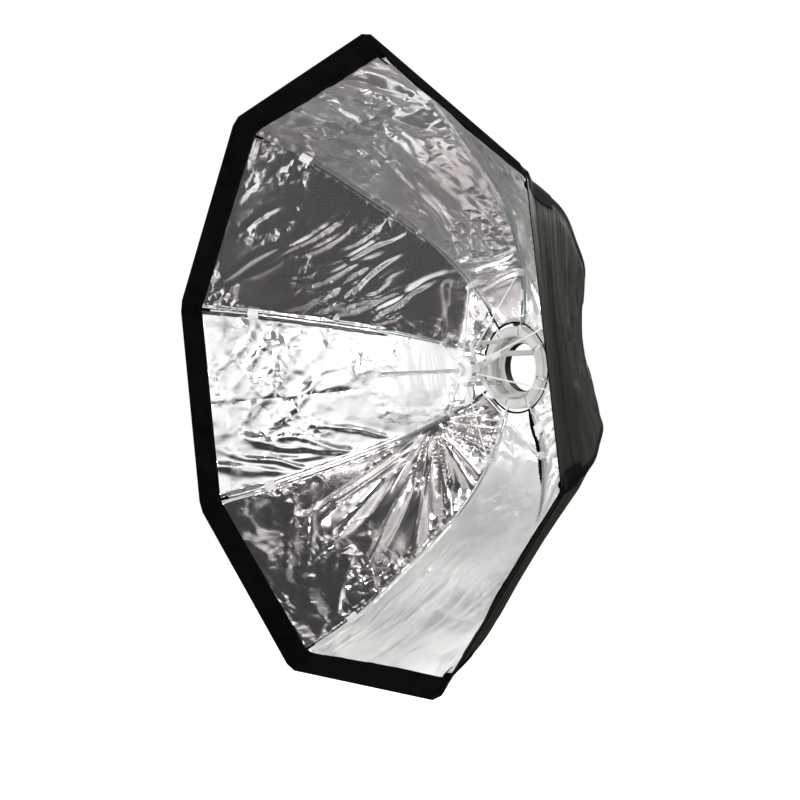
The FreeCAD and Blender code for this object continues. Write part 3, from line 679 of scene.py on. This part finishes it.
def new_material(name, color, roughness, metallic=0.0, sheen=0.0, coat=0.0):
    """A Principled material; the values that are the same all over sit on the shader."""
    material = bpy.data.materials.new(name)
    material.use_nodes = True
    shader = material.node_tree.nodes["Principled BSDF"]
    shader.inputs["Base Color"].default_value = (*color, 1.0)
    shader.inputs["Roughness"].default_value = roughness
    shader.inputs["Metallic"].default_value = metallic
    shader.inputs["Sheen Weight"].default_value = sheen
    shader.inputs["Sheen Roughness"].default_value = 0.5
    shader.inputs["Coat Weight"].default_value = coat
    return material


def add_node(owner, kind, **inputs):
    """A node of a material or of the world, with some of its input sockets set or linked."""
    tree = owner.node_tree
    node = tree.nodes.new(kind)
    for label, value in inputs.items():
        socket = node.inputs[label.replace("_", " ")]
        if isinstance(value, bpy.types.NodeSocket):
            tree.links.new(value, socket)
        else:
            socket.default_value = value
    return node


def place_in_object(material, stretch=(1.0, 1.0, 1.0), space="Object", turn=0.0):
    """Coordinates in metres, in the row frame or on the flat cloth, turned and stretched."""
    where = add_node(material, "ShaderNodeTexCoord").outputs[space]
    turned = add_node(material, "ShaderNodeMapping", Vector=where, Rotation=(0.0, 0.0, -turn))
    return add_node(material, "ShaderNodeMapping", Vector=turned.outputs[0], Scale=stretch).outputs[0]


def noise(material, scale, detail=4.0, roughness=0.5, distortion=0.0,
          stretch=(1.0, 1.0, 1.0), space="Object", kind="FBM", turn=0.0):
    """Noise value, mostly from 0 to 1."""
    where = place_in_object(material, stretch, space, turn)
    node = add_node(
        material, "ShaderNodeTexNoise",
        Vector=where, Scale=scale, Detail=detail, Roughness=roughness, Distortion=distortion,
    )
    node.noise_type = kind
    return node.outputs["Fac"]


def facets(material, scale):
    """Crumpled facets on the flat cloth: distance to scattered points, bent by noise."""
    where = place_in_object(material, space="UV")
    bend = add_node(material, "ShaderNodeTexNoise", Vector=where, Scale=scale * 0.5, Detail=3.0)
    shift = add_node(material, "ShaderNodeVectorMath")
    shift.operation = "MULTIPLY_ADD"
    material.node_tree.links.new(bend.outputs["Color"], shift.inputs[0])
    shift.inputs[1].default_value = (1.1 / scale,) * 3
    material.node_tree.links.new(where, shift.inputs[2])
    cells = add_node(material, "ShaderNodeTexVoronoi", Vector=shift.outputs[0], Scale=scale)
    cells.distance = "MANHATTAN"
    return cells.outputs["Distance"]


def ramp(owner, value, stops):
    """Colour ramp through (position, grey or colour) stops."""
    node = add_node(owner, "ShaderNodeValToRGB", Fac=value)
    elements = node.color_ramp.elements
    while len(elements) < len(stops):
        elements.new(0.5)
    for element, (position, color) in zip(elements, stops):
        element.position = position
        rgb = color if isinstance(color, tuple) else (color, color, color)
        element.color = (*rgb, 1.0)
    return node.outputs["Color"]


def math_node(owner, operation, *values):
    """Arithmetic on values or on the outputs of other nodes."""
    node = owner.node_tree.nodes.new("ShaderNodeMath")
    node.operation = operation
    for socket, value in zip(node.inputs, values):
        if isinstance(value, bpy.types.NodeSocket):
            owner.node_tree.links.new(value, socket)
        else:
            socket.default_value = value
    return node.outputs[0]


def bumped(material, height, distance, strength=1.0, under=None):
    """Adds a bump on top of another bump and feeds the shader's normal."""
    node = add_node(material, "ShaderNodeBump", Height=height, Distance=distance, Strength=strength)
    if under is not None:
        material.node_tree.links.new(under, node.inputs["Normal"])
    shader = material.node_tree.nodes["Principled BSDF"]
    material.node_tree.links.new(node.outputs[0], shader.inputs["Normal"])
    return node.outputs[0]


def feed(material, value, socket):
    """Links a value to one of the shader's inputs."""
    shader = material.node_tree.nodes["Principled BSDF"]
    material.node_tree.links.new(value, shader.inputs[socket])


def liner_material(number, painted_panel_shade, lean, gloss, tint, metal):
    """Aluminised film: smooth stretches, streaks along its folds, and crumpled patches; its base colour holds
    the panel's painted shade and painted blotches of dimmer reflection.
    """
    bright = tuple(0.965 * part * painted_panel_shade for part in (1.0, 0.995, 0.985))
    painted_dim_reflection = tuple(part * 0.80 * painted_panel_shade for part in tint)
    material = new_material(f"silver_liner_{number}", bright, 0.2, metallic=metal)
    # The cloudy noise paints blotches of dimmer, tinted reflection into the base colour, and varies the gloss
    # with them.
    cloudy = noise(material, 5.0, 3.0, 0.5, 0.3, space="UV")
    feed(material, ramp(material, cloudy, ((0.38, painted_dim_reflection), (0.6, bright))), "Base Color")
    feed(material, ramp(material, cloudy, ((0.35, gloss + 0.10), (0.65, gloss))), "Roughness")
    patches = ramp(material, noise(material, 7.0, 3.0, 0.55, space="UV"), ((0.50, 0.03), (0.64, 1.0)))
    streaks = noise(material, 26.0, 3.0, 0.5, 0.25, (0.22, 1.0, 1.0), "UV", "RIDGED_MULTIFRACTAL",
                    math.atan(lean))
    streaked = bumped(material, streaks, 0.0016, 0.5)
    crumple = math_node(material, "MULTIPLY", facets(material, 40.0), patches)
    crumpled = bumped(material, crumple, 0.0060, 0.5, streaked)
    crackle = noise(material, 85.0, 3.0, 0.6, 1.2, space="UV", kind="RIDGED_MULTIFRACTAL")
    bumped(material, crackle, 0.00022, 0.5, crumpled)
    return material


def shell_material():
    """Black-olive nylon with a soft sheen, a fine weave, and a painted sheen on the crests of its folds."""
    material = new_material("black_nylon", (0.016, 0.014, 0.009), 0.4, sheen=0.01)
    material.node_tree.nodes["Principled BSDF"].inputs["Specular IOR Level"].default_value = 0.28
    weave = noise(material, 900.0, 2.0, 0.5)
    streaks = noise(material, 22.0, 4.0, 0.55, 0.35, (0.16, 1.0, 1.0), "UV")
    # The lighter colour on the streaks' crests, which the same noise raises as bumps, is a painted sheen.
    dark, painted_sheen = (0.011, 0.010, 0.0062), (0.021, 0.0185, 0.0115)
    feed(material, ramp(material, streaks, ((0.35, dark), (0.68, painted_sheen))), "Base Color")
    feed(material, ramp(material, streaks, ((0.35, 0.34), (0.65, 0.5))), "Roughness")
    first = bumped(material, streaks, 0.014, 0.6)
    bumped(material, weave, 0.0003, 0.35, first)
    return material


def lip_material():
    """Black hook-and-loop band with a felted pile."""
    material = new_material("black_band", (0.002, 0.002, 0.002), 0.9)
    material.node_tree.nodes["Principled BSDF"].inputs["Specular IOR Level"].default_value = 0.05
    pile = noise(material, 650.0, 3.0, 0.7)
    worn = noise(material, 26.0, 4.0, 0.6)
    feed(material, ramp(material, worn, ((0.35, 0.0008), (0.75, 0.0028))), "Base Color")
    bumped(material, pile, 0.0006, 0.6)
    return material


def tape_material():
    """Black woven tape with fine cross ribs."""
    material = new_material("black_tape", (0.003, 0.003, 0.003), 0.7)
    material.node_tree.nodes["Principled BSDF"].inputs["Specular IOR Level"].default_value = 0.12
    ribs = noise(material, 520.0, 2.0, 0.4, 0.0, (1.0, 4.0, 1.0))
    worn = noise(material, 30.0, 4.0, 0.6)
    feed(material, ramp(material, worn, ((0.35, 0.0015), (0.75, 0.005))), "Base Color")
    bumped(material, ribs, 0.0005, 0.6)
    return material


def cloth_material(name, color):
    """Plain woven cloth."""
    material = new_material(name, color, 0.8, sheen=0.1)
    weave = noise(material, 1300.0, 2.0, 0.5)
    stain = noise(material, 60.0, 4.0, 0.6)
    dark = tuple(part * 0.86 for part in color)
    feed(material, ramp(material, stain, ((0.3, dark), (0.7, color))), "Base Color")
    bumped(material, weave, 0.0003, 0.5)
    return material


def painted_material(name, color, roughness=0.4):
    """Satin paint over a casting: slight mottling, orange peel and dulled patches."""
    material = new_material(name, color, roughness, coat=0.15)
    dark = tuple(part * 0.82 for part in color)
    mottle = noise(material, 55.0, 5.0, 0.6)
    feed(material, ramp(material, mottle, ((0.3, dark), (0.7, color))), "Base Color")
    feed(material, ramp(material, mottle, ((0.3, roughness + 0.12), (0.7, roughness - 0.06))), "Roughness")
    peel = noise(material, 900.0, 2.0, 0.5)
    bumped(material, peel, 0.0002, 0.35)
    return material


def steel_material(name, color, roughness=0.28):
    """Drawn steel with faint lengthwise marks."""
    material = new_material(name, color, roughness, metallic=1.0)
    marks = noise(material, 300.0, 3.0, 0.6)
    dark = tuple(part * 0.75 for part in color)
    feed(material, ramp(material, marks, ((0.3, dark), (0.7, color))), "Base Color")
    feed(material, ramp(material, marks, ((0.3, roughness - 0.08), (0.7, roughness + 0.12))), "Roughness")
    bumped(material, marks, 0.0002, 0.3)
    return material


def plastic_material(name, color, roughness=0.35):
    """Moulded plastic with a fine spark-eroded grain."""
    material = new_material(name, color, roughness, coat=0.1)
    grain = noise(material, 1400.0, 2.0, 0.5)
    tint = noise(material, 40.0, 3.0, 0.5)
    dark = tuple(part * 0.88 for part in color)
    feed(material, ramp(material, tint, ((0.3, dark), (0.7, color))), "Base Color")
    bumped(material, grain, 0.00015, 0.4)
    return material


def insert_material():
    """Light painted casting whose bore is blackened."""
    material = painted_material("insert_paint", (0.56, 0.55, 0.52), 0.42)
    where = add_node(material, "ShaderNodeTexCoord").outputs["Object"]
    split = add_node(material, "ShaderNodeSeparateXYZ", Vector=where)
    squares = math_node(
        material, "ADD",
        math_node(material, "POWER", split.outputs["X"], 2.0),
        math_node(material, "POWER", split.outputs["Z"], 2.0),
    )
    outside = math_node(material, "GREATER_THAN", squares, BORE_RADIUS**2)
    paint = material.node_tree.nodes["Principled BSDF"].inputs["Base Color"].links[0].from_socket
    mixed = add_node(material, "ShaderNodeMixRGB", Fac=outside, Color1=BORE_BLACK, Color2=paint)
    feed(material, mixed.outputs["Color"], "Base Color")
    return material


def cad_materials():
    """Finish for every CAD node that stays in view."""
    fasteners = steel_material("screw_steel", (0.62, 0.61, 0.60), 0.3)
    arm = painted_material("arm_paint", (0.70, 0.70, 0.69), 0.36)
    small = plastic_material("black_plastic", (0.03, 0.03, 0.032), 0.42)
    finishes = {
        "bayonet_insert": insert_material(),
        "retaining_ring": painted_material("clamp_paint", (0.56, 0.55, 0.52), 0.4),
        "retaining_screws": fasteners,
        "hinge_ring": painted_material("ring_paint", (0.60, 0.59, 0.565), 0.38),
        "hinge_pins": fasteners,
        "arm_screws": fasteners,
        "centre_boss": arm,
        "runner_shaft": steel_material("shaft_steel", (0.80, 0.80, 0.80), 0.2),
        "shaft_end_stop": arm,
        "runner": plastic_material("runner_plastic", (0.76, 0.76, 0.75), 0.38),
        "release_button": plastic_material("button_plastic", (0.70, 0.70, 0.69), 0.4),
        "lock_thumbscrew": small,
    }
    rod = steel_material("rib_steel", (0.50, 0.54, 0.58), 0.3)
    fitting = painted_material("fitting_paint", (0.78, 0.78, 0.77), 0.4)
    wire = painted_material("strut_paint", (0.83, 0.83, 0.82), 0.33)
    for number in range(1, RIB_COUNT + 1):
        finishes[f"rib_{number}_rod"] = rod
        finishes[f"rib_{number}_fittings"] = fitting
        finishes[f"strut_{number}"] = wire
    for number in (2, 4, 6, 8):
        finishes[f"hub_arm_{number}"] = arm
    for name, finish in finishes.items():
        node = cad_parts[name]
        for slot in node.material_slots:
            slot.material = finish


# ---------------------------------------------------------------- studio

def make_floor():
    """Pale paper floor, lit from below like a light table so that it stays white."""
    paper = plastic_material("floor_paper", (0.86, 0.86, 0.86), 0.9)
    shader = paper.node_tree.nodes["Principled BSDF"]
    shader.inputs["Emission Color"].default_value = (1.0, 1.0, 1.0, 1.0)
    shader.inputs["Emission Strength"].default_value = 1.1
    corners = [(-1, -1), (1, -1), (1, 1), (-1, 1)]
    points = [(x * FLOOR_REACH, y * FLOOR_REACH, FLOOR_HEIGHT) for x, y in corners]
    floor = mesh_object("floor", points, [(0, 1, 2, 3)], [0], [paper])
    floor.visible_glossy = False


def make_light(name, place, target, size, power):
    """A rectangular light that faces a target; returns its object."""
    light = bpy.data.lights.new(name, "AREA")
    light.shape = "RECTANGLE"
    light.size, light.size_y = size
    light.energy = power
    thing = bpy.data.objects.new(name, light)
    thing.location = place
    direction = Vector(target) - Vector(place)
    thing.rotation_euler = direction.to_track_quat("-Z", "Y").to_euler()
    bpy.context.scene.collection.objects.link(thing)
    return thing


def make_lights():
    """Four lights round the canopy, and one for the floor that the foil doesn't mirror."""
    centre = (0.0, -0.25, 0.0)
    make_light("key", (1.7, -2.6, 1.5), centre, (0.6, 0.6), 40)
    make_light("fill", (-1.6, -2.6, 0.5), centre, (0.4, 1.6), 20)
    make_light("rim", (2.4, 1.2, 1.6), centre, (0.7, 0.7), 20)
    make_light("back", (-0.6, 3.4, 1.8), centre, (1.2, 1.2), 38)
    over_floor = make_light("top_light_for_floor", (0.0, 0.0, 5.0), (0.0, 0.0, FLOOR_HEIGHT), (5.0, 5.0), 160)
    over_floor.visible_glossy = False


def make_surroundings():
    """What the foil mirrors: a bright band at eye level, fading to the back; the camera sees white."""
    world = bpy.data.worlds.new("studio")
    bpy.context.scene.world = world
    world.use_nodes = True
    where = add_node(world, "ShaderNodeTexCoord").outputs["Generated"]
    split = add_node(world, "ShaderNodeSeparateXYZ", Vector=where)
    level = math_node(world, "MULTIPLY_ADD", split.outputs["Z"], 0.5, 0.5)
    shade = ramp(world, level, ((0.30, 0.035), (0.44, 0.9), (0.58, 1.25), (0.78, 0.05)))
    depth = ramp(world, split.outputs["Y"], ((0.02, 1.0), (0.40, (0.10, 0.10, 0.095))))
    band = add_node(world, "ShaderNodeMixRGB", Fac=1.0, Color1=shade, Color2=depth)
    band.blend_type = "MULTIPLY"
    paths = add_node(world, "ShaderNodeLightPath")
    seen = add_node(
        world, "ShaderNodeMixRGB",
        Fac=paths.outputs["Is Camera Ray"], Color1=band.outputs["Color"], Color2=(1.0, 1.0, 1.0, 1.0),
    )
    world.node_tree.links.new(seen.outputs["Color"], world.node_tree.nodes["Background"].inputs["Color"])


def make_camera():
    """Camera at the photograph's viewing angle; its place is in canopy radii from the opening's middle."""
    opening = Vector((0.0, -HINGE_DEPTH - LIP_EDGE[1] * CANOPY_RADIUS, 0.0))
    place = opening + Vector((2.555, -1.703, -0.227)) * CANOPY_RADIUS
    backward = Vector((0.789, -0.612, -0.044)).normalized()
    right = Vector((0.100, 0.056, 0.993)).cross(backward).normalized()
    up = backward.cross(right)
    turn = Matrix((right, up, backward)).transposed().to_4x4()
    camera = bpy.data.cameras.new("camera")
    camera.lens = 45.5
    camera.sensor_width = 36.0
    thing = bpy.data.objects.new("camera", camera)
    thing.matrix_world = Matrix.Translation(place) @ turn
    bpy.context.scene.collection.objects.link(thing)
    bpy.context.scene.camera = thing


# ---------------------------------------------------------------- the whole object

def sew_trim(band, tape, white_cloth):
    """Ties over the rods, pockets for the ribs' tips and pockets over the lip's corners."""
    for rib in range(1, RIB_COUNT + 1):
        make_tie(rib, "outer_tie", OUTER_TIE_PLACE, OUTER_TIE_REACH, white_cloth)
        make_tip_pocket(rib, band)
        make_corner_pocket(rib, tape)
    for rib, reach in INNER_TIE_REACHES.items():
        make_tie(rib, "inner_tie", INNER_TIE_PLACE, reach, white_cloth)


def make_canopy(black_cloths):
    """Both halves of every panel; each panel has its own liner, with its own painted shade in its base
    colour.
    """
    for panel, finish in enumerate(LINER_LOOKS_AND_PAINTED_SHADES, start=1):
        liner = liner_material(panel, *finish)
        for side in (-1, 1):
            make_half_panel(panel, side, [liner, *black_cloths])


cad_materials()
band_cloth, nylon_cloth, tape_cloth = lip_material(), shell_material(), tape_material()
sew_trim(band_cloth, tape_cloth, cloth_material("white_cloth", (0.78, 0.78, 0.77)))
make_canopy([band_cloth, nylon_cloth, tape_cloth])
make_floor()
make_surroundings()
make_lights()
make_camera()
bpy.context.scene.view_settings.view_transform = "Standard"
